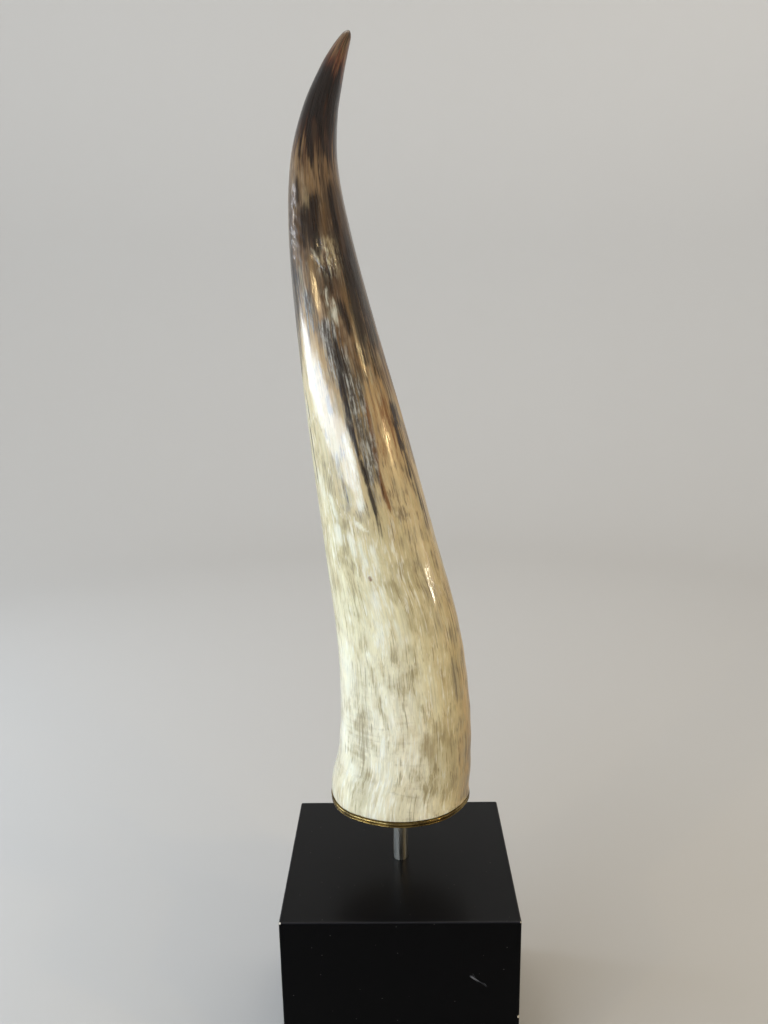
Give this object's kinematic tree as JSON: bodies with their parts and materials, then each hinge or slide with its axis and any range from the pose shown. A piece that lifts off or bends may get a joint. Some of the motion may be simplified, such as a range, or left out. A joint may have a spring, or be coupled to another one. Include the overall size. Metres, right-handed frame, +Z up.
{
  "type": "mounted longhorn horn",
  "caption": "Polished cattle horn, cream at the base and dark at its hooked tip, held upright on a thin brass cap and a steel rod above a black lacquered wood block.",
  "frame": {"origin": "centre of the block's underside, on the surface that the object stands on", "axes": "+Z up, -Y the front, towards the viewer of the picture, +X to the viewer's right"},
  "size_m": [0.15, 0.13, 0.6623],
  "materials": {
    "horn": "polished horn, cream to near black, with long streaks",
    "brass": "polished brass, a little tarnished",
    "steel": "polished steel",
    "lacquered_wood": "black satin lacquer with a few chips and scratches"
  },
  "bodies": {
    "root": {"horn": "horn", "brass_cap": "brass", "rod": "steel", "block": "lacquered_wood"}
  },
  "joints": []
}
